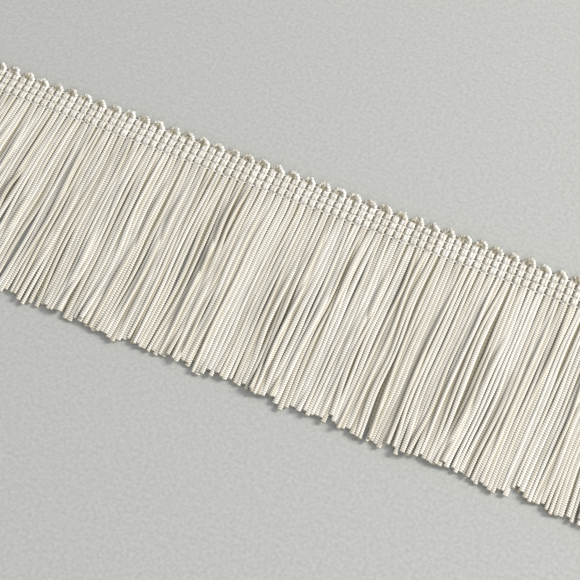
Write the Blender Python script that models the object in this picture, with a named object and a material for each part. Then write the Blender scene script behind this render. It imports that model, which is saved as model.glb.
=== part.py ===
"""Chainette fringe trim: a cut length lying flat, skirt combed out, picot edge at +Y.

The heading is a narrow knitted band. Chainette cords are laid up and down across four wales,
which pinch them into three rows of domes, and turn at the top as picot loops. Below the last
wale the cords hang free as the fringe, which is one comb with a tooth for each heading column.
X runs along the trim, Y across it, and Z is up from the surface it lies on. All sizes in metres.
"""
import math
import random

import bmesh
import bpy

MM = 0.001

# Driving dimensions
PICOTS = 48
PICOT_PITCH = 5.3 * MM
COLUMN_PITCH = PICOT_PITCH / 2
COLUMNS = PICOTS * 2
LENGTH = PICOTS * PICOT_PITCH
WALES = 4
WALE_PITCH = 2.5 * MM
PICOT_RISE = 2.3 * MM
HEADING_LIP = 0.45 * MM
HEADING_DEPTH = PICOT_RISE + (WALES - 1) * WALE_PITCH + HEADING_LIP
FRINGE_DROP = 75.2 * MM

# Heights above the surface
DOME_HEIGHT = 2.0 * MM
WALE_HEIGHT = 1.25 * MM
GROOVE_DROP = 0.55 * MM
PICOT_HEIGHT = 1.7 * MM
PICOT_EDGE_HEIGHT = 1.1 * MM
PICOT_SHOULDER = 0.55 * MM
PICOT_NOTCH = 1.5 * MM

# Comb
NODE_GAP = 0.3 * MM
ROOT_DEPTH = 1.0 * MM
ROOT_HEIGHT = 1.35 * MM
TOOTH_HEIGHT = 1.5 * MM
TOOTH_BEVEL = 0.3 * MM
CROWDED_LIFT = 0.35 * MM
TOOTH_ROWS = 5
SLIT = 0.35 * MM
GATHER_COLUMNS = 2.5
END_JITTER = 0.5 * MM
END_SEED = 7

# Where the strands part: millimetres along from the trim's middle, start and finish of the
# parting in millimetres below the heading, and its widest opening in millimetres.
PARTINGS = (
    # along, start, finish, opening
    (-88.5, 5, 45, 0.9),
    (-72.5, 30, 48, 0.7),
    (-69.5, 50, 76, 0.6),
    (-68.0, 24, 42, 0.8),
    (-66.0, 8, 22, 0.8),
    (-61.5, 1, 9, 0.5),
    (-58.0, 4, 26, 0.8),
    (-51.0, 5, 30, 0.9),
    (-44.5, 42, 78, 1.0),
    (-35.5, 28, 66, 0.8),
    (-34.0, 5, 20, 0.7),
    (-31.5, 30, 74, 0.7),
    (-21.0, 10, 32, 1.0),
    (-16.0, 18, 36, 0.9),
    (-11.0, 8, 76, 0.5),
    (3.0, 28, 50, 0.6),
    (6.0, 17, 45, 0.9),
    (10.0, 9, 22, 0.8),
    (12.0, 20, 60, 0.6),
    (12.8, 48, 80, 0.9),
    (16.0, 8, 24, 0.6),
    (16.5, 52, 84, 1.1),
    (20.5, 7, 30, 1.0),
    (28.5, 28, 46, 0.9),
    (32.0, 30, 62, 1.0),
    (38.5, 5, 17, 1.0),
    (41.0, 2, 28, 1.0),
    (41.5, 44, 60, 0.8),
    (46.0, 26, 42, 0.7),
    (52.0, 47, 80, 1.1),
    (61.5, 38, 50, 0.8),
    (64.5, 10, 46, 1.1),
    (68.5, 6, 66, 0.5),
    (77.5, 30, 66, 0.9),
    (81.0, 22, 44, 0.6),
    (100.0, 30, 60, 0.6),
)

# Sideways drift of the hanging strands: millimetres along from the middle, then the drift
# in millimetres at one third, two thirds and all of the drop.
DRIFTS = (
    # along, third, two_thirds, end
    (-127, 0.0, 0.1, 0.2),
    (-102, 0.1, 0.2, 0.3),
    (-86, -0.3, -0.4, -0.2),
    (-69, 0.8, 2.0, 2.6),
    (-53, 1.1, 2.3, 3.0),
    (-37, 1.1, 2.3, 2.4),
    (-20, 0.4, 1.2, 1.1),
    (-4, 0.5, 0.7, 1.5),
    (12, 0.5, 1.3, 1.7),
    (29, 0.3, 0.5, 1.0),
    (45, 0.1, 0.4, 0.5),
    (61, -0.3, -0.4, -0.4),
    (77, -0.3, -0.9, -0.7),
    (94, -0.6, -1.3, -1.4),
    (127, -0.6, -1.2, -1.3),
)

# How much further than the mean drop the cut ends reach, in millimetres.
ENDS = (
    # along, reach
    (-127, 0.0),
    (-74, -0.4),
    (-68, 0.3),
    (-58, 0.3),
    (-50, -0.9),
    (-45, 0.6),
    (-38, 1.5),
    (-34, -0.2),
    (-24, 0.4),
    (-14, -0.3),
    (-9, 1.6),
    (-4, -0.3),
    (1, -1.6),
    (6, 0.6),
    (11, 1.0),
    (15, -1.3),
    (19, 0.6),
    (27, 0.2),
    (36, -0.5),
    (43, 1.0),
    (54, 0.4),
    (62, -0.3),
    (70, 0.2),
    (79, -0.5),
    (88, 1.1),
    (95, -1.6),
    (102, 0.2),
    (127, 0.0),
)


def clear_scene():
    for item in list(bpy.data.objects):
        bpy.data.objects.remove(item, do_unlink=True)


def make_collection(name):
    group = bpy.data.collections.new(name)
    bpy.context.scene.collection.children.link(group)
    return group


def between(rows, along, column):
    """A column of a table at any place along the trim, in metres."""
    place = along / MM
    if place <= rows[0][0]:
        return rows[0][column] * MM
    for left, right in zip(rows, rows[1:]):
        if place <= right[0]:
            share = (place - left[0]) / (right[0] - left[0])
            return (left[column] * (1 - share) + right[column] * share) * MM
    return rows[-1][column] * MM


def drift(along, depth):
    """How far a strand rooted at along has drifted sideways, depth below the heading."""
    stops = [0.0] + [between(DRIFTS, along, column) for column in (1, 2, 3)]
    reach = min(depth / (FRINGE_DROP - HEADING_DEPTH) * 3, 2.999)
    step = int(reach)
    share = reach - step
    return stops[step] * (1 - share) + stops[step + 1] * share


def opening(parting, depth):
    """Half-sine opening of one parting at a depth below the heading."""
    start, finish = parting[1] * MM, parting[2] * MM
    if not start < depth < finish:
        return 0.0
    return parting[3] * MM * math.sin(math.pi * (depth - start) / (finish - start))


def nearest_boundary(parting):
    """The gap between two columns that a parting opens."""
    middle = (parting[1] + parting[2]) / 2 * MM
    root = parting[0] * MM - drift(parting[0] * MM, middle)
    return round((root + LENGTH / 2) / COLUMN_PITCH)


def boundary(number, depth):
    """Middle and width of the gap between two columns at a depth below the heading."""
    root = number * COLUMN_PITCH - LENGTH / 2
    middle = root + drift(root, depth)
    width = SLIT
    for parting in PARTINGS:
        away = number - nearest_boundary(parting)
        push = opening(parting, depth)
        if away == 0:
            width += push
        else:
            middle += math.copysign(push / 2 * math.exp(-abs(away) / GATHER_COLUMNS), away)
    return middle, width


def make_material(name, color, roughness):
    material = bpy.data.materials.new(name)
    material.use_nodes = True
    shader = material.node_tree.nodes["Principled BSDF"]
    shader.inputs["Base Color"].default_value = (*color, 1.0)
    shader.inputs["Roughness"].default_value = roughness
    shader.inputs["Metallic"].default_value = 0.0
    return material


def add_object(name, mesh_data, material, group):
    mesh = bpy.data.meshes.new(name)
    bmesh.ops.recalc_face_normals(mesh_data, faces=mesh_data.faces)
    mesh_data.to_mesh(mesh)
    mesh_data.free()
    mesh.materials.append(material)
    item = bpy.data.objects.new(name, mesh)
    group.objects.link(item)
    return item


def heading_rows():
    """Distance below the picot tips and height of each row across the heading."""
    rows = [(PICOT_RISE * 0.55, PICOT_HEIGHT), (PICOT_RISE, WALE_HEIGHT)]
    for wale in range(1, WALES):
        below = PICOT_RISE + wale * WALE_PITCH
        rows.append((below - WALE_PITCH / 2, DOME_HEIGHT))
        rows.append((below, WALE_HEIGHT))
    rows.append((HEADING_DEPTH, WALE_HEIGHT * 0.85))
    return rows


def make_heading(group):
    """Knitted band: a grid shaped into domes and wales, then thickened down to the surface."""
    rows = heading_rows()
    steps = COLUMNS * 2
    scallop = (PICOT_NOTCH, PICOT_SHOULDER, 0.0, PICOT_SHOULDER)
    cloth = bmesh.new()
    bmesh.ops.create_grid(cloth, x_segments=steps, y_segments=len(rows), size=0.5)
    for point in cloth.verts:
        step = round((point.co.x + 0.5) * steps)
        row = round((0.5 - point.co.y) * len(rows)) - 1
        point.co.x = step * COLUMN_PITCH / 2 - LENGTH / 2
        if row < 0:
            point.co.y = -scallop[step % len(scallop)]
            point.co.z = PICOT_EDGE_HEIGHT
            continue
        below, height = rows[row]
        point.co.y = -below
        point.co.z = height - (GROOVE_DROP if step % 2 == 0 else 0.0)
    underside = bmesh.ops.extrude_face_region(cloth, geom=cloth.faces[:])
    lowered = [part for part in underside["geom"] if isinstance(part, bmesh.types.BMVert)]
    for point in lowered:
        point.co.z = 0.0
    flat_faces = [face for face in cloth.faces if all(point.co.z == 0.0 for point in face.verts)]
    bmesh.ops.dissolve_faces(cloth, faces=flat_faces)
    heading_yarn = make_material("heading_yarn", (0.80, 0.77, 0.68), 0.5)
    return add_object("heading", cloth, heading_yarn, group)


def tooth_depths(number, chance):
    """Depths of a tooth's sections, from its root to its cut end."""
    root = (number + 0.5) * COLUMN_PITCH - LENGTH / 2
    full = FRINGE_DROP - HEADING_DEPTH + between(ENDS, root, 1)
    full += chance.uniform(-END_JITTER, END_JITTER)
    return [full * row / TOOTH_ROWS for row in range(1, TOOTH_ROWS + 1)]


def tooth_section(cloth, number, depth, top):
    """Ring of one tooth at a depth: flat below, bevelled above, higher where it is crowded."""
    left, left_gap = boundary(number, depth)
    right, right_gap = boundary(number + 1, depth)
    left += left_gap / 2
    right -= right_gap / 2
    squeeze = max(0.0, 1 - (right - left) / (COLUMN_PITCH - SLIT))
    height = TOOTH_HEIGHT + CROWDED_LIFT * min(1.0, squeeze * 6)
    across = top - depth
    return [
        cloth.verts.new((left, across, 0.0)),
        cloth.verts.new((left + TOOTH_BEVEL, across, height)),
        cloth.verts.new((right - TOOTH_BEVEL, across, height)),
        cloth.verts.new((right, across, 0.0)),
    ]


def root_section(cloth, number, across):
    """Square ring where a tooth grows out of the comb's root bar."""
    left = number * COLUMN_PITCH - LENGTH / 2 + SLIT / 2
    right = left + COLUMN_PITCH - SLIT
    return [
        cloth.verts.new((left, across, 0.0)),
        cloth.verts.new((left, across, ROOT_HEIGHT)),
        cloth.verts.new((right, across, ROOT_HEIGHT)),
        cloth.verts.new((right, across, 0.0)),
    ]


def join_rings(cloth, upper, lower, corners):
    for first, second in corners:
        cloth.faces.new((upper[first], upper[second], lower[second], lower[first]))


def make_fringe(group):
    """One comb: a thin root bar along the heading's lower edge, and a lofted tooth a column."""
    back = -HEADING_DEPTH - NODE_GAP
    front = back - ROOT_DEPTH
    around = ((0, 1), (1, 2), (2, 3))
    cloth = bmesh.new()
    chance = random.Random(END_SEED)
    roots = []
    for number in range(COLUMNS):
        behind = root_section(cloth, number, back)
        root = root_section(cloth, number, front)
        cloth.faces.new(behind)
        join_rings(cloth, behind, root, ((1, 2), (3, 0)))
        rings = [root]
        for depth in tooth_depths(number, chance):
            rings.append(tooth_section(cloth, number, depth, -HEADING_DEPTH))
        for upper, lower in zip(rings, rings[1:]):
            join_rings(cloth, upper, lower, around)
        cloth.faces.new(rings[-1])
        left_side = [ring[0] for ring in rings]
        right_side = [ring[3] for ring in reversed(rings)]
        cloth.faces.new(left_side + right_side)
        roots.append((behind, root))
    for (behind, root), (next_behind, next_root) in zip(roots, roots[1:]):
        for low, high in ((3, 0), (2, 1)):
            cloth.faces.new((behind[low], root[low], next_root[high], next_behind[high]))
        cloth.faces.new((behind[2], behind[3], next_behind[0], next_behind[1]))
        cloth.faces.new((root[2], root[3], next_root[0], next_root[1]))
    first_behind, first_root = roots[0]
    last_behind, last_root = roots[-1]
    cloth.faces.new((first_behind[0], first_behind[1], first_root[1], first_root[0]))
    cloth.faces.new((last_behind[3], last_behind[2], last_root[2], last_root[3]))
    fringe_yarn = make_material("fringe_yarn", (0.82, 0.79, 0.71), 0.45)
    return add_object("fringe", cloth, fringe_yarn, group)


def centre_on_origin(items):
    """Put the middle of the whole trim's footprint on the origin."""
    corners = [point.co for item in items for point in item.data.vertices]
    middle = [(min(c[axis] for c in corners) + max(c[axis] for c in corners)) / 2 for axis in (0, 1)]
    for item in items:
        for point in item.data.vertices:
            point.co.x -= middle[0]
            point.co.y -= middle[1]


clear_scene()
trim = make_collection("chainette_fringe_trim")
centre_on_origin([make_heading(trim), make_fringe(trim)])
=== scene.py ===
import math

import bpy
import numpy as np
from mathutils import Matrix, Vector


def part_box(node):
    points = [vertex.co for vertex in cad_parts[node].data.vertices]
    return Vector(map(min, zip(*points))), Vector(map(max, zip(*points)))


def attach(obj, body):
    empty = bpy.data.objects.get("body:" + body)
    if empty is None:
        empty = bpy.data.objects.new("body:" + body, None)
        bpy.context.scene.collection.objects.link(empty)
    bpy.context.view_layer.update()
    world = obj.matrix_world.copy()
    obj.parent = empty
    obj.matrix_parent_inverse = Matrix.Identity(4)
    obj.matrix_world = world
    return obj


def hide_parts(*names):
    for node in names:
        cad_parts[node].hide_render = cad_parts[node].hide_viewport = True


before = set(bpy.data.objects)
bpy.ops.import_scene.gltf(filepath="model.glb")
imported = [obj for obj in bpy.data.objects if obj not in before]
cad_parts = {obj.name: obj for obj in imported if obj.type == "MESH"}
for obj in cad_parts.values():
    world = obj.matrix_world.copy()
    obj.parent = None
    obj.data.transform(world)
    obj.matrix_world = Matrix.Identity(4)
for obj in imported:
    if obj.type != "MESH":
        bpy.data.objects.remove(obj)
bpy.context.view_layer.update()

# Camera. It stands over the skirt a little to the right, on a long lens, and looks down at the
# middle of the trim, so that the picot edge falls from the upper left to the lower right.
MM = 0.001
heading_low, heading_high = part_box("heading")
picot_line = heading_high[1]
CAMERA_TURN = math.radians(23.5)
CAMERA_LIFT = math.radians(63.0)
CAMERA_DISTANCE = 479.4 * MM
CAMERA_LENS = 96.5
AIM_RIGHT = 7.0 * MM
AIM_BELOW_PICOTS = 39.1 * MM
aim = Vector((AIM_RIGHT, picot_line - AIM_BELOW_PICOTS, 0.0))
back = Vector((
    math.sin(CAMERA_TURN) * math.cos(CAMERA_LIFT),
    -math.cos(CAMERA_TURN) * math.cos(CAMERA_LIFT),
    math.sin(CAMERA_LIFT),
))
camera_data = bpy.data.cameras.new("studio_camera")
camera_data.lens = CAMERA_LENS
camera_data.sensor_width = 36.0
camera_data.clip_start = 0.01
camera_data.clip_end = 20.0
camera = bpy.data.objects.new("studio_camera", camera_data)
camera.location = aim + back * CAMERA_DISTANCE
camera.rotation_euler = back.to_track_quat("Z", "Y").to_euler()
bpy.context.scene.collection.objects.link(camera)
bpy.context.scene.camera = camera


# Tabletop. A wide sheet of pale grey matt paper with a faint grain. A small soft lamp lights it
# from the upper right, a weak broad one from the front, and the sky is an even cool grey.
def new_material(name):
    """A material with its node tree and its one shader."""
    material = bpy.data.materials.new(name)
    material.use_nodes = True
    return material, material.node_tree, material.node_tree.nodes["Principled BSDF"]


def soft_lamp(name, size, energy, colour, place):
    """A square lamp that faces the middle of the trim."""
    data = bpy.data.lights.new(name, "AREA")
    data.size = size
    data.energy = energy
    data.color = colour
    lamp = bpy.data.objects.new(name, data)
    lamp.location = place
    lamp.rotation_euler = Vector(place).to_track_quat("Z", "Y").to_euler()
    bpy.context.scene.collection.objects.link(lamp)


PAPER_SIZE = 6.0
PAPER_GREY_LOW = (0.302, 0.302, 0.284, 1)
PAPER_GREY_HIGH = (0.482, 0.482, 0.461, 1)
SKY_GREY = (0.95, 0.98, 1.0, 1)
bpy.ops.mesh.primitive_plane_add(size=PAPER_SIZE, location=(0, 0, 0))
paper = bpy.context.object
paper.name = "grey_paper"
paper_matt, paper_tree, paper_shader = new_material("grey_paper")
paper_shader.inputs["Roughness"].default_value = 0.95
paper_shader.inputs["Specular IOR Level"].default_value = 0.1
paper_place = paper_tree.nodes.new("ShaderNodeTexCoord")
paper_grain = paper_tree.nodes.new("ShaderNodeTexNoise")
paper_grain.inputs["Scale"].default_value = 900.0
paper_grain.inputs["Detail"].default_value = 4.0
paper_tint = paper_tree.nodes.new("ShaderNodeMixRGB")
paper_tint.inputs["Color1"].default_value = PAPER_GREY_LOW
paper_tint.inputs["Color2"].default_value = PAPER_GREY_HIGH
paper_bump = paper_tree.nodes.new("ShaderNodeBump")
paper_bump.inputs["Strength"].default_value = 0.15
paper_bump.inputs["Distance"].default_value = 0.05 * MM
paper_tree.links.new(paper_place.outputs["Object"], paper_grain.inputs["Vector"])
paper_tree.links.new(paper_grain.outputs["Fac"], paper_tint.inputs["Fac"])
paper_tree.links.new(paper_grain.outputs["Fac"], paper_bump.inputs["Height"])
paper_tree.links.new(paper_tint.outputs["Color"], paper_shader.inputs["Base Color"])
paper_tree.links.new(paper_bump.outputs["Normal"], paper_shader.inputs["Normal"])
paper.data.materials.append(paper_matt)

WARM_WHITE = (1.0, 0.99, 0.97)
WHITE = (1.0, 1.0, 1.0)
soft_lamp("key_lamp", size=0.50, energy=33.0, colour=WARM_WHITE, place=(1.22, 0.62, 0.90))
soft_lamp("fill_lamp", size=1.20, energy=11.0, colour=WHITE, place=(0.9, -1.3, 1.3))
sky = bpy.data.worlds.new("grey_sky")
sky.use_nodes = True
sky.node_tree.nodes["Background"].inputs["Color"].default_value = SKY_GREY
sky.node_tree.nodes["Background"].inputs["Strength"].default_value = 0.62
bpy.context.scene.world = sky
bpy.context.scene.view_settings.view_transform = "Standard"

# Heading columns. Ivory rayon chainette, a tiny knitted tube, is laid up and down across the
# band, two cords to a column. Four chain-stitch wales pinch it, and between them it domes up.
# Each picot's left column stands higher above the top wale than its right one.
PICOTS = 48
COLUMNS = PICOTS * 2
PICOT_PITCH = (heading_high[0] - heading_low[0]) / PICOTS
COLUMN_PITCH = PICOT_PITCH / 2
LEFT_END = heading_low[0]
WALES_BELOW_TIPS = (2.35 * MM, 4.75 * MM, 7.30 * MM, 9.90 * MM)
WALES_AT = [picot_line - below for below in WALES_BELOW_TIPS]
PAIR_SPREAD = 0.42 * MM
PINCH_CENTRE = 0.64 * MM
DOME_CENTRE = 0.92 * MM
COLUMN_TAIL = 0.45 * MM
LEFT_HEAD = 1.15 * MM
RIGHT_HEAD = 0.45 * MM
# half width and half height of a column's cord at a wale, and what a dome adds, in millimetres
PINCH_WIDE, DOME_WIDER = 0.58, 0.12
PINCH_HIGH, DOME_HIGHER = 0.48, 0.24
IVORY_LIGHT = (0.858, 0.852, 0.833, 1)
# the darker warm colour that a cord's tone and its painted shade mix towards
IVORY_TONE_AND_SHADE = (0.355, 0.309, 0.228, 1)
# painted shade, mixed in low down near the table and on the cords' flanks
IVORY_PAINTED_SHADE = (0.495, 0.435, 0.295, 1)
# the points around a cord, how far its stitch rows bend to a V, and how its stitches swell
AROUND = 8
CHEVRON = 0.17 * MM
STAGGER = 0.05 * MM
LOW_LEG = 0.65
VALLEY_WIDTH = 0.87
CREST_WIDTH = 0.26
END_WIDTH = 0.86
SQUARENESS = 0.75


def catmull_rom(points, spacing):
    """Evenly spaced points of a smooth curve through the given ones."""
    points = np.asarray(points, float)
    before = np.vstack([2 * points[0] - points[1], points, 2 * points[-1] - points[-2]])
    steps = 8
    share = (np.arange(steps) / steps)[:, None]
    pieces = []
    for p0, p1, p2, p3 in zip(before, before[1:], before[2:], before[3:]):
        bend = 2 * p0 - 5 * p1 + 4 * p2 - p3
        turn = 3 * p1 - p0 - 3 * p2 + p3
        pieces.append(0.5 * (2 * p1 + (p2 - p0) * share + bend * share**2 + turn * share**3))
    curve = np.vstack(pieces + [points[-1:]])
    reach = np.concatenate([[0], np.cumsum(np.linalg.norm(np.diff(curve, axis=0), axis=1))])
    stops = np.linspace(0, reach[-1], max(2, round(reach[-1] / spacing) + 1))
    return np.column_stack([np.interp(stops, reach, curve[:, axis]) for axis in range(3)])


def knit_cord(path, half_wide, half_high, turn, stitch):
    """One chainette along a path: a soft tube whose rings are V-shaped rows of stitches.
    Half width, half height and turn are numbers, or arrays with one for each path point.
    It also gives the relief of each ring point, 0 in a valley and up to 1 on a crest."""
    reach = np.concatenate([[0], np.cumsum(np.linalg.norm(np.diff(path, axis=0), axis=1))])
    length = reach[-1]
    stitches = max(2, round(length / stitch))
    rings = np.linspace(0, length, 2 * stitches + 1)
    angle = np.arange(AROUND) * 2 * math.pi / AROUND
    edge = np.minimum(1, np.minimum(rings, length - rings) / stitch)[:, None]
    shift = CHEVRON * np.cos(2 * angle) + STAGGER * np.sin(2 * angle)
    stops = np.clip(rings[:, None] - shift[None, :] * edge, 0, length)

    def at_stops(values):
        return np.interp(stops, reach, np.broadcast_to(values, reach.shape))

    centre = np.stack([at_stops(path[:, axis]) for axis in range(3)], axis=-1)
    tangent = np.gradient(path, axis=0)
    tangent /= np.linalg.norm(tangent, axis=1)[:, None]
    run = np.stack([at_stops(tangent[:, axis]) for axis in range(3)], axis=-1)
    side = np.cross(run, (0.0, 0.0, 1.0))
    side /= np.linalg.norm(side, axis=-1)[..., None]
    up = np.cross(side, run)
    leg = np.where(np.arange(AROUND) % 2 == 1, 1.0, LOW_LEG)[None, :]
    crest_ring = (np.arange(len(rings)) % 2 == 1)[:, None]
    relief = np.where(crest_ring, leg, 0.0)
    plump = (VALLEY_WIDTH + CREST_WIDTH * relief) * np.where(edge < 0.5, END_WIDTH, 1.0)
    turned = at_stops(turn) + angle[None, :]
    across, upward = np.cos(turned), np.sin(turned)
    across = np.sign(across) * np.abs(across) ** SQUARENESS
    upward = np.sign(upward) * np.abs(upward) ** SQUARENESS
    wide = (at_stops(half_wide) * plump * across)[..., None]
    high = (at_stops(half_high) * plump * upward)[..., None]
    return centre + side * wide + up * high, relief


def thread_tube(path, radius, sides):
    """A plain thin thread of round section along a path, with a relief of 1 all over."""
    tangent = np.gradient(path, axis=0)
    tangent /= np.linalg.norm(tangent, axis=1)[:, None]
    side = np.cross(tangent, (0.0, 0.0, 1.0))
    side /= np.linalg.norm(side, axis=-1)[..., None]
    up = np.cross(side, tangent)
    angle = np.arange(sides) * 2 * math.pi / sides
    ring = side[:, None] * np.cos(angle)[None, :, None] + up[:, None] * np.sin(angle)[None, :, None]
    return path[:, None] + ring * radius, np.ones(ring.shape[:2])


def closed_tube(ring_points, relief, start, low, high):
    """Points, faces and strip-map corners of one cord, whose first point is number start and
    whose strip runs from low to high across the map. A fan of triangles closes each end."""
    count, around = relief.shape
    grid = np.arange(count * around).reshape(count, around) + start
    nxt = np.roll(grid, -1, axis=1)
    end_points = start + count * around
    places = [ring_points.reshape(-1, 3), np.stack([ring_points[0].mean(0), ring_points[-1].mean(0)])]
    blocks = [np.stack([grid[:-1], nxt[:-1], nxt[1:], grid[1:]], axis=-1).reshape(-1, 4)]
    sweep_u = low + (high - low) * np.arange(around + 1) / around
    sweep_v = 0.01 + 0.98 * np.arange(count) / (count - 1)
    corner_u = np.stack([sweep_u[:-1], sweep_u[1:], sweep_u[1:], sweep_u[:-1]], axis=-1)
    corner_v = np.stack([sweep_v[:-1], sweep_v[:-1], sweep_v[1:], sweep_v[1:]], axis=-1)
    quad_u = np.broadcast_to(corner_u[None], (count - 1, around, 4))
    quad_v = np.broadcast_to(corner_v[:, None], (count - 1, around, 4))
    spots = [np.stack([quad_u, quad_v], axis=-1).reshape(-1, 2)]
    for row, end_point, order, side_v, tip_v in (
        (0, end_points, -1, 0.01, 0.0),
        (count - 1, end_points + 1, 1, 0.99, 1.0),
    ):
        first, second = (grid[row], nxt[row])[::order]
        blocks.append(np.stack([first, second, np.full(around, end_point)], axis=-1))
        u_first, u_second = (sweep_u[:-1], sweep_u[1:])[::order]
        spots.append(np.stack([
            np.stack([u_first, np.full(around, side_v)], -1),
            np.stack([u_second, np.full(around, side_v)], -1),
            np.stack([(u_first + u_second) / 2, np.full(around, tip_v)], -1),
        ], axis=1).reshape(-1, 2))
    return places, blocks, spots


def cord_mesh(name, cords, tones_and_shades, material):
    """Joins cords into one mesh with closed ends, a strip map, and a tone and painted shade for each
    cord, with painted shade in the valleys between stitches.
    """
    places, blocks, spots, shades = [], [], [], []
    start = 0
    for number, ((ring_points, relief), tone_and_shade) in enumerate(zip(cords, tones_and_shades)):
        strip = ((number + 0.04) / len(cords), (number + 0.96) / len(cords))
        cord_places, cord_blocks, cord_spots = closed_tube(ring_points, relief, start, *strip)
        places += cord_places
        blocks += cord_blocks
        spots += cord_spots
        # Painted shade: the valleys between stitches are one step darker than the crests, on top of
        # the cord's tone and painted shade.
        shade = (1 - relief) + np.reshape(tone_and_shade, (-1, 1))
        shades += [shade.ravel(), np.full(2, shade.min())]
        start += relief.size + 2
    places = np.vstack(places)
    corners = np.concatenate([block.ravel() for block in blocks])
    sizes = np.concatenate([np.full(len(block), block.shape[1]) for block in blocks])
    mesh = bpy.data.meshes.new(name)
    mesh.vertices.add(len(places))
    mesh.vertices.foreach_set("co", places.astype(np.float32).ravel())
    mesh.loops.add(len(corners))
    mesh.loops.foreach_set("vertex_index", corners.astype(np.int32))
    mesh.polygons.add(len(sizes))
    mesh.polygons.foreach_set("loop_start", (np.cumsum(sizes) - sizes).astype(np.int32))
    mesh.polygons.foreach_set("loop_total", sizes.astype(np.int32))
    mesh.update(calc_edges=True)
    strip_map = mesh.uv_layers.new(name="OFBake")
    strip_map.data.foreach_set("uv", np.vstack(spots).astype(np.float32).ravel())
    tone_and_shade_layer = mesh.attributes.new("tone_and_shade", "FLOAT", "POINT")
    tone_and_shade_layer.data.foreach_set("value", np.concatenate(shades).astype(np.float32))
    mesh.shade_smooth()
    mesh.materials.append(material)
    mesh.validate()
    item = bpy.data.objects.new(name, mesh)
    bpy.context.scene.collection.objects.link(item)
    return item


def rayon(name, roughness):
    """Silky knitted rayon: ivory, mixed towards a darker warm colour by a cord's tone and painted
    shade, with painted shade low down and on its flanks, fine filaments and a soft sheen."""
    material, tree, shader = new_material(name)
    links = tree.links
    tone_and_shade = tree.nodes.new("ShaderNodeAttribute")
    tone_and_shade.attribute_name = "tone_and_shade"
    place = tree.nodes.new("ShaderNodeTexCoord")
    stretch = tree.nodes.new("ShaderNodeMapping")
    stretch.inputs["Scale"].default_value = (1.0, 0.18, 1.0)
    filaments = tree.nodes.new("ShaderNodeTexNoise")
    filaments.inputs["Scale"].default_value = 9000.0
    filaments.inputs["Detail"].default_value = 2.0
    blotches = tree.nodes.new("ShaderNodeTexNoise")
    blotches.inputs["Scale"].default_value = 260.0
    blotches.inputs["Detail"].default_value = 2.0
    share = tree.nodes.new("ShaderNodeMath")
    share.operation = "MULTIPLY_ADD"
    share.inputs[1].default_value = 0.15
    colour = tree.nodes.new("ShaderNodeMixRGB")
    colour.inputs["Color1"].default_value = IVORY_LIGHT
    colour.inputs["Color2"].default_value = IVORY_TONE_AND_SHADE
    height = tree.nodes.new("ShaderNodeSeparateXYZ")
    low_down_shade = tree.nodes.new("ShaderNodeMapRange")
    low_down_shade.inputs["From Min"].default_value = 0.75 * MM
    low_down_shade.inputs["From Max"].default_value = 0.15 * MM
    facing = tree.nodes.new("ShaderNodeNewGeometry")
    facing_up = tree.nodes.new("ShaderNodeSeparateXYZ")
    flank_shade = tree.nodes.new("ShaderNodeMapRange")
    flank_shade.inputs["From Min"].default_value = 0.75
    flank_shade.inputs["From Max"].default_value = 0.10
    flank_shade.inputs["To Max"].default_value = 0.70
    shaded = tree.nodes.new("ShaderNodeMath")
    shaded.operation = "MAXIMUM"
    painted_shade_mix = tree.nodes.new("ShaderNodeMixRGB")
    painted_shade_mix.inputs["Color2"].default_value = IVORY_PAINTED_SHADE
    bump = tree.nodes.new("ShaderNodeBump")
    bump.inputs["Strength"].default_value = 0.35
    bump.inputs["Distance"].default_value = 0.03 * MM
    links.new(place.outputs["Object"], stretch.inputs["Vector"])
    links.new(stretch.outputs["Vector"], filaments.inputs["Vector"])
    links.new(place.outputs["Object"], blotches.inputs["Vector"])
    links.new(blotches.outputs["Fac"], share.inputs[0])
    links.new(tone_and_shade.outputs["Fac"], share.inputs[2])
    links.new(share.outputs["Value"], colour.inputs["Fac"])
    links.new(filaments.outputs["Fac"], bump.inputs["Height"])
    links.new(place.outputs["Object"], height.inputs["Vector"])
    links.new(height.outputs["Z"], low_down_shade.inputs["Value"])
    links.new(facing.outputs["Normal"], facing_up.inputs["Vector"])
    links.new(facing_up.outputs["Z"], flank_shade.inputs["Value"])
    links.new(low_down_shade.outputs["Result"], shaded.inputs[0])
    links.new(flank_shade.outputs["Result"], shaded.inputs[1])
    links.new(shaded.outputs["Value"], painted_shade_mix.inputs["Fac"])
    links.new(colour.outputs["Color"], painted_shade_mix.inputs["Color1"])
    links.new(painted_shade_mix.outputs["Color"], shader.inputs["Base Color"])
    links.new(bump.outputs["Normal"], shader.inputs["Normal"])
    shader.inputs["Roughness"].default_value = roughness
    shader.inputs["Specular IOR Level"].default_value = 0.34
    shader.inputs["Sheen Weight"].default_value = 0.15
    shader.inputs["Sheen Roughness"].default_value = 0.4
    return material


def column_profile(above_wale_one):
    """Stations up a column, from its tail to its head: y, height, and 0 at a wale to 1 on a dome."""
    rows = [(WALES_AT[3] - COLUMN_TAIL, PINCH_CENTRE, 0.35)]
    for lower, upper in zip(WALES_AT[::-1], WALES_AT[-2::-1]):
        rows.append((lower, PINCH_CENTRE, 0.0))
        for share in (0.15, 0.35, 0.65, 0.85):
            dome = math.sin(math.pi * share) ** 0.5
            height = PINCH_CENTRE + (DOME_CENTRE - PINCH_CENTRE) * dome
            rows.append((lower + (upper - lower) * share, height, dome))
    rows.append((WALES_AT[0], PINCH_CENTRE, 0.0))
    rows.append((WALES_AT[0] + 0.45 * above_wale_one, PINCH_CENTRE + 0.15 * MM, 0.6))
    rows.append((WALES_AT[0] + above_wale_one, PINCH_CENTRE, 0.3))
    return np.array(rows)


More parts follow.
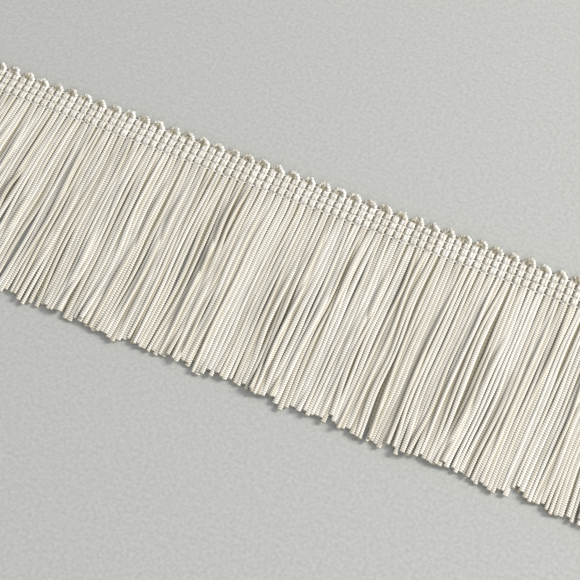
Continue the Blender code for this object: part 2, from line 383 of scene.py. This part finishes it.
chance = np.random.default_rng(11)
heading_yarn = rayon("heading_yarn", 0.42)
column_cords, column_tones_and_shades = [], []
for number in range(COLUMNS):
    middle = LEFT_END + (number + 0.5) * COLUMN_PITCH
    rows = column_profile(LEFT_HEAD if number % 2 == 0 else RIGHT_HEAD)
    sway = chance.normal(0, 0.05 * MM, len(rows))
    for hand in (-1, 1):
        spread = PAIR_SPREAD * (0.90 + 0.10 * rows[:, 2])
        wobble = chance.normal(0, 0.035 * MM, (len(rows), 2))
        route = np.column_stack([
            middle + hand * spread + sway + wobble[:, 0],
            rows[:, 0],
            rows[:, 1] + wobble[:, 1],
        ])
        path = catmull_rom(route, 0.2 * MM)
        plump = np.interp(path[:, 1], rows[:, 0], rows[:, 2])
        half_wide = (PINCH_WIDE + DOME_WIDER * plump) * MM
        half_high = (PINCH_HIGH + DOME_HIGHER * plump) * MM
        turn = chance.normal(0, 0.40)
        stitch = chance.uniform(0.60, 0.80) * MM
        cord, relief = knit_cord(path, half_wide, half_high, turn, stitch)
        # Painted shade: a column's colour is darker at the wales, where it pinches in, and in its
        # stitch valleys; a chance tone is added.
        dome = np.interp(cord[:, :, 1], rows[:, 0], rows[:, 2])
        column_cords.append((cord, 0.30 + 0.70 * relief))
        column_tones_and_shades.append(0.25 * (1 - dome.mean(axis=1)) + chance.uniform(-0.05, 0.15))
columns = cord_mesh("heading_columns", column_cords, column_tones_and_shades, heading_yarn)
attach(columns, "root")
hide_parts("heading")

# Return cords. On the back of the band the same chainette runs once more between two columns,
# flat and low, held by the same wales, so that yarn in shade shows in the gaps.
RETURN_HALF_WIDE = 0.42 * MM
RETURN_HALF_HIGH = 0.26 * MM
RETURN_CENTRE = 0.37 * MM
RETURN_STITCH = 1.2 * MM
RETURN_STATIONS = 24
# Painted shade: the return cords' colour is a little darker, for the shade in the gaps.
RETURN_PAINTED_SHADE = 0.15
return_cords, return_shades = [], []
for number in range(COLUMNS - 1):
    between = LEFT_END + (number + 1) * COLUMN_PITCH
    path = np.column_stack([
        between + chance.normal(0, 0.04 * MM, RETURN_STATIONS),
        np.linspace(WALES_AT[3] - 0.2 * MM, WALES_AT[0] + 0.3 * MM, RETURN_STATIONS),
        np.full(RETURN_STATIONS, RETURN_CENTRE),
    ])
    return_cords.append(knit_cord(path, RETURN_HALF_WIDE, RETURN_HALF_HIGH, 0.0, RETURN_STITCH))
    return_shades.append(RETURN_PAINTED_SHADE)
returns = cord_mesh("return_cords", return_cords, return_shades, heading_yarn)
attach(returns, "root")

# Picot loops. At the top edge the cord turns over from one column into the next: a wide outer
# loop whose crest is near the middle and whose right side slopes away, and a small inner loop
# in its shade. Stray filaments make the crest fuzzy. The tables are in millimetres, but for the
# last column, which is painted shade: darker on the outer loop's left side and on the inner loop,
# and painted light on the right slope, which faces the lamp.
PICOT_OUTER = (
    # across, above the top wale, height, painted shade
    (-1.65, -0.10, 0.60, 0.35),
    (-1.85, 0.50, 0.85, 0.30),
    (-1.60, 1.02, 1.10, 0.20),
    (-1.05, 1.42, 1.25, 0.20),
    (-0.35, 1.70, 1.40, 0.15),
    (0.35, 1.62, 1.50, 0.00),
    (1.00, 1.22, 1.55, -0.10),
    (1.55, 0.65, 1.45, -0.10),
    (1.85, 0.00, 1.25, -0.10),
    (1.78, -0.90, 0.95, -0.05),
)
PICOT_INNER = (
    # across, above the top wale, height, painted shade
    (-0.40, -0.80, 0.75, 0.85),
    (-0.60, 0.15, 1.00, 0.80),
    (-0.30, 0.82, 1.20, 0.65),
    (0.35, 0.80, 1.30, 0.60),
    (0.80, 0.30, 1.25, 0.65),
    (0.90, -0.40, 1.00, 0.60),
)
OUTER_HALF_WIDE = 0.62 * MM
INNER_HALF_WIDE = 0.56 * MM
PICOT_HALF_HIGH = 0.55 * MM
PICOT_STITCH = 0.90 * MM
FILAMENTS = 6
FILAMENT_RADIUS = 0.055 * MM
outer = np.array(PICOT_OUTER)
inner = np.array(PICOT_INNER)
picot_cords, picot_tones_and_shades = [], []
for number in range(PICOTS):
    foot = np.array([LEFT_END + (number + 0.5) * PICOT_PITCH, WALES_AT[0], 0.0])
    lean = chance.normal(0, 0.13)
    rise = chance.normal(0, 0.08)
    for table, half_wide in ((outer, OUTER_HALF_WIDE), (inner, INNER_HALF_WIDE)):
        route = table[:, :3]
        aloft = np.clip(route[:, 1:2], 0, None)
        route = route + np.hstack([lean * aloft, rise * aloft, 0 * aloft])
        route = route + chance.normal(0, 0.17, route.shape) * np.clip(aloft * 2, 0, 1)
        path = catmull_rom(route * MM + foot, 0.15 * MM)
        turn = chance.normal(0, 0.3)
        cord, relief = knit_cord(path, half_wide, PICOT_HALF_HIGH, turn, PICOT_STITCH)
        # Painted shade along each loop from the table's last column, on top of a chance tone.
        shade = np.interp(np.linspace(0, 1, len(cord)), np.linspace(0, 1, len(table)), table[:, 3])
        picot_cords.append((cord, 0.25 + 0.75 * relief))
        picot_tones_and_shades.append(shade + chance.uniform(-0.1, 0.15))
    for filament in range(FILAMENTS):
        across = chance.uniform(-1.1, 1.1)
        top = np.interp(across, outer[1:8, 0], outer[1:8, 1])
        reach = chance.uniform(0.45, 0.85)
        wide = chance.uniform(-0.55, 0.55)
        route = np.array([
            (across, top - 0.1, 1.3),
            (across + 0.3 * wide, top + 0.75 * reach, 1.5),
            (across + wide, top + reach * 0.95, 1.2),
            (across + 1.5 * wide, top + 0.1, 1.1),
        ])
        path = catmull_rom(route * MM + foot, 0.2 * MM)
        picot_cords.append(thread_tube(path, FILAMENT_RADIUS, 3))
        picot_tones_and_shades.append(0.0)
picots = cord_mesh("picot_loops", picot_cords, picot_tones_and_shades, heading_yarn)
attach(picots, "root")

# Binding chains. One fine rayon chain stitch runs along each wale. It makes a loop over every
# column, pulls it down, and crosses the gap to the next as a thin bright thread.
THREAD_RADIUS = 0.15 * MM
THREAD_SIDES = 5
CHAIN_OVER_COLUMN = 0.84 * MM
CHAIN_OVER_GAP = 0.86 * MM
CHAIN_SPREAD = 0.19 * MM
CHAIN_TONE = 0.1
chain_cords, chain_tones = [], []
for wale_at in WALES_AT:
    for hand in (-1, 1):
        route = []
        for number in range(COLUMNS):
            start = LEFT_END + number * COLUMN_PITCH
            for share in (0.0, 0.2, 0.5, 0.8):
                swell = math.sin(math.pi * share)
                aside = hand * (CHAIN_SPREAD * (0.35 + swell))
                rise = (CHAIN_OVER_COLUMN - CHAIN_OVER_GAP) * min(1.0, 1.25 * swell)
                route.append((
                    start + share * COLUMN_PITCH,
                    wale_at + aside + chance.normal(0, 0.02 * MM),
                    CHAIN_OVER_GAP + rise,
                ))
        chain_cords.append(thread_tube(catmull_rom(route, 0.33 * MM), THREAD_RADIUS, THREAD_SIDES))
        chain_tones.append(CHAIN_TONE)
chains = cord_mesh("binding_chains", chain_cords, chain_tones, heading_yarn)
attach(chains, "root")

# Skirt cords. Below the last wale the same chainettes hang free, four to a picot, side by side.
# They were combed out by hand: they drift and part a little, and ride up where they crowd. The
# tables are in millimetres.
CORDS = COLUMNS * 2
CORD_PITCH = COLUMN_PITCH / 2
SKIRT_TOP = WALES_AT[3] - 0.15 * MM
PICOT_TIP_TO_CUT_END = 75.2 * MM
MEAN_DROP = PICOT_TIP_TO_CUT_END - (picot_line - SKIRT_TOP)
STATIONS = 67
STITCH = 0.74 * MM
PRESSED = 1.09
PARTINGS = (
    # along, start and finish below the heading, opening
    (-88.5, 5, 45, 0.9),
    (-72.5, 30, 48, 0.7),
    (-69.5, 50, 76, 0.6),
    (-68.0, 24, 42, 0.8),
    (-66.0, 8, 22, 0.8),
    (-61.5, 1, 9, 0.5),
    (-58.0, 4, 26, 0.8),
    (-51.0, 5, 30, 0.9),
    (-44.5, 42, 78, 1.0),
    (-35.5, 28, 66, 0.8),
    (-34.0, 5, 20, 0.7),
    (-31.5, 30, 74, 0.7),
    (-21.0, 10, 32, 1.0),
    (-16.0, 18, 36, 0.9),
    (-11.0, 8, 76, 0.5),
    (3.0, 28, 50, 0.6),
    (6.0, 17, 45, 0.9),
    (10.0, 9, 22, 0.8),
    (12.0, 20, 60, 0.6),
    (12.8, 48, 80, 0.9),
    (16.0, 8, 24, 0.6),
    (16.5, 52, 84, 1.1),
    (20.5, 7, 30, 1.0),
    (28.5, 28, 46, 0.9),
    (32.0, 30, 62, 1.0),
    (38.5, 5, 17, 1.0),
    (41.0, 2, 28, 1.0),
    (41.5, 44, 60, 0.8),
    (46.0, 26, 42, 0.7),
    (52.0, 47, 80, 1.1),
    (61.5, 38, 50, 0.8),
    (64.5, 10, 46, 1.1),
    (68.5, 6, 66, 0.5),
    (77.5, 30, 66, 0.9),
    (81.0, 22, 44, 0.6),
    (100.0, 30, 60, 0.6),
)
DRIFTS = (
    # along, a third, two thirds and all of the way down
    (-127, 0.0, 0.1, 0.2),
    (-102, 0.1, 0.2, 0.3),
    (-86, -0.3, -0.4, -0.2),
    (-69, 0.8, 2.0, 2.6),
    (-53, 1.1, 2.3, 3.0),
    (-37, 1.1, 2.3, 2.4),
    (-20, 0.4, 1.2, 1.1),
    (-4, 0.5, 0.7, 1.5),
    (12, 0.5, 1.3, 1.7),
    (29, 0.3, 0.5, 1.0),
    (45, 0.1, 0.4, 0.5),
    (61, -0.3, -0.4, -0.4),
    (77, -0.3, -0.9, -0.7),
    (94, -0.6, -1.3, -1.4),
    (127, -0.6, -1.2, -1.3),
)
ENDS = (
    # along, reach past the mean drop
    (-127, 0.0), (-74, -0.4), (-68, 0.3), (-58, 0.3), (-50, -0.9), (-45, 0.6), (-38, 1.5),
    (-34, -0.2), (-24, 0.4), (-14, -0.3), (-9, 1.6), (-4, -0.3), (1, -1.6), (6, 0.6), (11, 1.0),
    (15, -1.3), (19, 0.6), (27, 0.2), (36, -0.5), (43, 1.0), (54, 0.4), (62, -0.3), (70, 0.2),
    (79, -0.5), (88, 1.1), (95, -1.6), (102, 0.2), (127, 0.0),
)
drifts = np.array(DRIFTS) * MM
ends = np.array(ENDS) * MM
last_station = STATIONS - 1


def wander(count, knots, size):
    """Smooth chance waves along each cord, a quarter as large at its root."""
    values = chance.normal(0, size, (count, knots))
    values[:, 0] *= 0.25
    stops = np.linspace(0, knots - 1, STATIONS)
    low = np.minimum(stops.astype(int), knots - 2)
    share = stops - low
    ease = share * share * (3 - 2 * share)
    return values[:, low] * (1 - ease) + values[:, low + 1] * ease


def wander_together(together, knots, size):
    """The same waves for every cord of a group, the first group being cut short."""
    waves = np.repeat(wander(CORDS // together + 2, knots, size), together, axis=0)
    first = (together + 1) // 2
    return waves[first:first + CORDS]


# Where each cord would lie by itself: it leaves its column in a pair, finds its own place over
# the next 8 to 28 mm, and follows the drifts.
cord_number = np.arange(CORDS)
column_number = cord_number // 2
hand = (cord_number % 2 - 0.5) * 2
root = LEFT_END + (cord_number + 0.5) * CORD_PITCH
in_column = LEFT_END + (column_number + 0.5) * COLUMN_PITCH + hand * PAIR_SPREAD
depth = np.linspace(0, 1, STATIONS) * MEAN_DROP
spreading = np.repeat(chance.uniform(8, 28, COLUMNS) * MM, 2)[:, None]
leaving = np.clip((depth - 3 * MM) / spreading, 0, 1)
aim_x = in_column[:, None] * (1 - leaving) + root[:, None] * leaving
thirds = np.linspace(0, MEAN_DROP, 4)
drifted = [np.zeros(CORDS)]
for column in (1, 2, 3):
    drifted.append(np.interp(root, drifts[:, 0], drifts[:, column]))
drifted = np.array(drifted)
aim_x = aim_x + np.array([np.interp(depth, thirds, drifted[:, k]) for k in cord_number])

# At a parting one cord stays sunken in shade, and the two or three on each side of it ride up
# and lean over it, less so the wider it opens. Lead, tail and lean are in millimetres.
PARTING_LEAD = 4
PARTING_TAIL = 8
LEAN = 0.50
LEAN_LESS = 0.26
LEAN_FADES_OVER = 2.5
RIDE_CORDS = (0, 1, 2, 4)
RIDE_HEIGHTS = (0.0, 0.50 * MM, 0.28 * MM, 0.0)
RIDE_LIMIT = 0.75 * MM
lifted = np.zeros((CORDS, STATIONS))
# Where the low cord lies in a parting is marked here, for painted shade on its colour.
parting_shade = np.zeros((CORDS, STATIONS))
for along, start, finish, opening in PARTINGS:
    middle = round(((start + finish) / 2 * MM) / MEAN_DROP * last_station)
    middle = min(middle, last_station)
    lowest = min(int(np.searchsorted(aim_x[:, middle], along * MM)), CORDS - 1)
    away = cord_number - lowest
    steps_away = np.abs(away)
    start = max(0, start - PARTING_LEAD)
    finish = finish + PARTING_TAIL
    share = np.clip((depth - start * MM) / ((finish - start) * MM), 0, 1)
    swell = np.sin(math.pi * share)[None, :]
    parting_shade[lowest] = np.maximum(parting_shade[lowest], swell[0])
    lean = np.sign(away) * np.exp(-(steps_away - 1) / LEAN_FADES_OVER)
    pull = (LEAN - LEAN_LESS * opening) * MM
    aim_x = aim_x - lean[:, None] * pull * swell
    lifted += np.interp(steps_away, RIDE_CORDS, RIDE_HEIGHTS)[:, None] * swell
lifted = np.minimum(lifted, RIDE_LIMIT)

# Combing moves them in threes, in eights and one by one. One cord in twenty rides on top of its
# neighbours, and each is rounder or flatter than the next and turns a little on itself. The
# half widths and half heights are in millimetres.
ROUND_WIDE, FLAT_WIDER = 0.56, 0.27
ROUND_HIGH, FLAT_LOWER = 0.54, 0.16
aim_x = aim_x + wander_together(3, 4, 0.36 * MM) + wander_together(8, 3, 0.38 * MM)
aim_x = aim_x + wander(CORDS, 5, 0.28 * MM)
riders = chance.permutation(CORDS)[:CORDS // 20]
aim_x[riders] += wander(len(riders), 3, 0.45 * MM)
flatness = np.clip(chance.normal(0.55, 0.45, CORDS)[:, None] + wander(CORDS, 5, 0.40), 0, 1)
narrower_at_root = np.interp(depth, (0, 14 * MM), (0.88, 1.0))
half_wide = (ROUND_WIDE + FLAT_WIDER * flatness) * MM * narrower_at_root
half_high = (ROUND_HIGH - FLAT_LOWER * flatness) * MM
turn = (1 - flatness) * math.pi / 4 + wander(CORDS, 6, 0.20)
TOUCHING = 0.98
SIDEWAYS = 0.45


def smooth(values, share):
    """Moves each station a share of the way towards the middle of its neighbours."""
    values[:, 1:-1] += (values[:, :-2] + values[:, 2:] - 2 * values[:, 1:-1]) * share


def push_apart(lay_x, lay_z, apart):
    """Moves cords that lie this many places apart away from each other where they overlap. The
    two cords of a column start out squeezed together, and ease over the first 22 mm."""
    gap_x = lay_x[apart:] - lay_x[:-apart]
    gap_z = lay_z[apart:] - lay_z[:-apart]
    reach_x = half_wide[apart:] + half_wide[:-apart]
    reach_z = half_high[apart:] + half_high[:-apart]
    if apart == 1:
        reach_x[::2] *= np.interp(depth, (0, 22 * MM), (0.80, 1.0))
    near = np.hypot(gap_x / reach_x, gap_z / reach_z)
    short = np.clip(TOUCHING - near, 0, 1) * 0.5
    scale = short / np.maximum(near, 0.05)
    lay_x[apart:] += gap_x * scale * SIDEWAYS
    lay_x[:-apart] -= gap_x * scale * SIDEWAYS
    lay_z[apart:] += gap_z * scale
    lay_z[:-apart] -= gap_z * scale


# They settle in many small steps: each sinks, drifts back to its own place, is pushed off its
# neighbours, and stays above the table and the cords that lie on it. Towards the cut ends they
# curl up a little, in threes.
ROUNDS = 160
SINK = 0.02 * MM
LAST_SMOOTHINGS = 20
CURL_FROM = 0.80 * MEAN_DROP
CURL_OVER = 0.20 * MEAN_DROP
lay_x = aim_x.copy()
lay_z = half_high + np.abs(wander(CORDS, 5, 0.6 * MM))
lay_z[riders] += 0.9 * MM
curled = np.repeat(np.clip(chance.normal(0.60, 0.35, CORDS // 3), 0, 1.1) * MM, 3)
near_end = np.clip((depth - CURL_FROM) / CURL_OVER, 0, 1) ** 2
lifted = np.maximum(lifted, curled[:, None] * near_end)
floor_z = half_high * 1.14 + 0.12 * MM + lifted
for step in range(ROUNDS):
    lay_z = lay_z - SINK
    lay_x = lay_x + (aim_x - lay_x) * 0.10
    for apart in (1, 2, 3):
        push_apart(lay_x, lay_z, apart)
    lay_z = np.maximum(lay_z, floor_z)
    smooth(lay_x, 0.20)
    smooth(lay_z, 0.24)
    smooth(lay_z, 0.24)
    lay_x[:, 0] = in_column
    lay_z[:, 0] = PINCH_CENTRE
for step in range(LAST_SMOOTHINGS):
    smooth(lay_x, 0.25)
    smooth(lay_z, 0.25)

# Each cord is then knitted along its lay, a little wider than its lay is spaced, with painted
# shade where it lies sunken in a parting. The skirt is kept as four pieces.
PARTING_PAINTED_SHADE = 0.30
SKIRT_PIECES = 4
skirt_yarn = rayon("fringe_yarn", 0.40)
reach_past = np.interp(root, ends[:, 0], ends[:, 1]) + chance.normal(0, 0.75 * MM, CORDS)
station = np.arange(STATIONS)
skirt_cords, skirt_tones_and_shades = [], []
for k in range(CORDS):
    stretch = (MEAN_DROP + reach_past[k]) / MEAN_DROP
    path = catmull_rom(np.column_stack([lay_x[k], SKIRT_TOP - depth * stretch, lay_z[k]]), 0.33 * MM)
    along = np.linspace(0, last_station, len(path))
    wide = np.interp(along, station, half_wide[k])
    high = np.interp(along, station, half_high[k])
    twist = np.interp(along, station, turn[k])
    stitch = STITCH * chance.uniform(0.92, 1.10)
    cord, relief = knit_cord(path, wide * PRESSED, high, twist, stitch)
    shade = np.interp(np.linspace(0, last_station, len(cord)), station, parting_shade[k])
    skirt_cords.append((cord, relief))
    skirt_tones_and_shades.append(chance.uniform(-0.10, 0.13) + PARTING_PAINTED_SHADE * shade)
per_piece = CORDS // SKIRT_PIECES
for part in range(SKIRT_PIECES):
    chosen = slice(part * per_piece, (part + 1) * per_piece)
    skirt = cord_mesh(f"skirt_cords_{part + 1}", skirt_cords[chosen], skirt_tones_and_shades[chosen], skirt_yarn)
    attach(skirt, "root")
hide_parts("fringe")

# Under cords. Chainettes of the same yarn lie flat on the table beneath the others, one under
# each gap between two columns. They are a little shorter and show only in the partings.
UNDER_HALF_WIDE = 0.62 * MM
UNDER_HALF_HIGH = 0.20 * MM
UNDER_CENTRE = 0.25 * MM
UNDER_STITCH = 1.3 * MM
under_cords, under_tones = [], []
for k in range(1, CORDS - 1, 2):
    run = 1 - chance.uniform(0.03, 0.06)
    between = (lay_x[k] + lay_x[k + 1]) / 2
    route = np.column_stack([between, SKIRT_TOP - depth * run, np.full(STATIONS, UNDER_CENTRE)])
    path = catmull_rom(route, 1.0 * MM)
    under_cords.append(knit_cord(path, UNDER_HALF_WIDE, UNDER_HALF_HIGH, 0.0, UNDER_STITCH))
    under_tones.append(chance.uniform(0.1, 0.3))
under = cord_mesh("under_cords", under_cords, under_tones, skirt_yarn)
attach(under, "root")
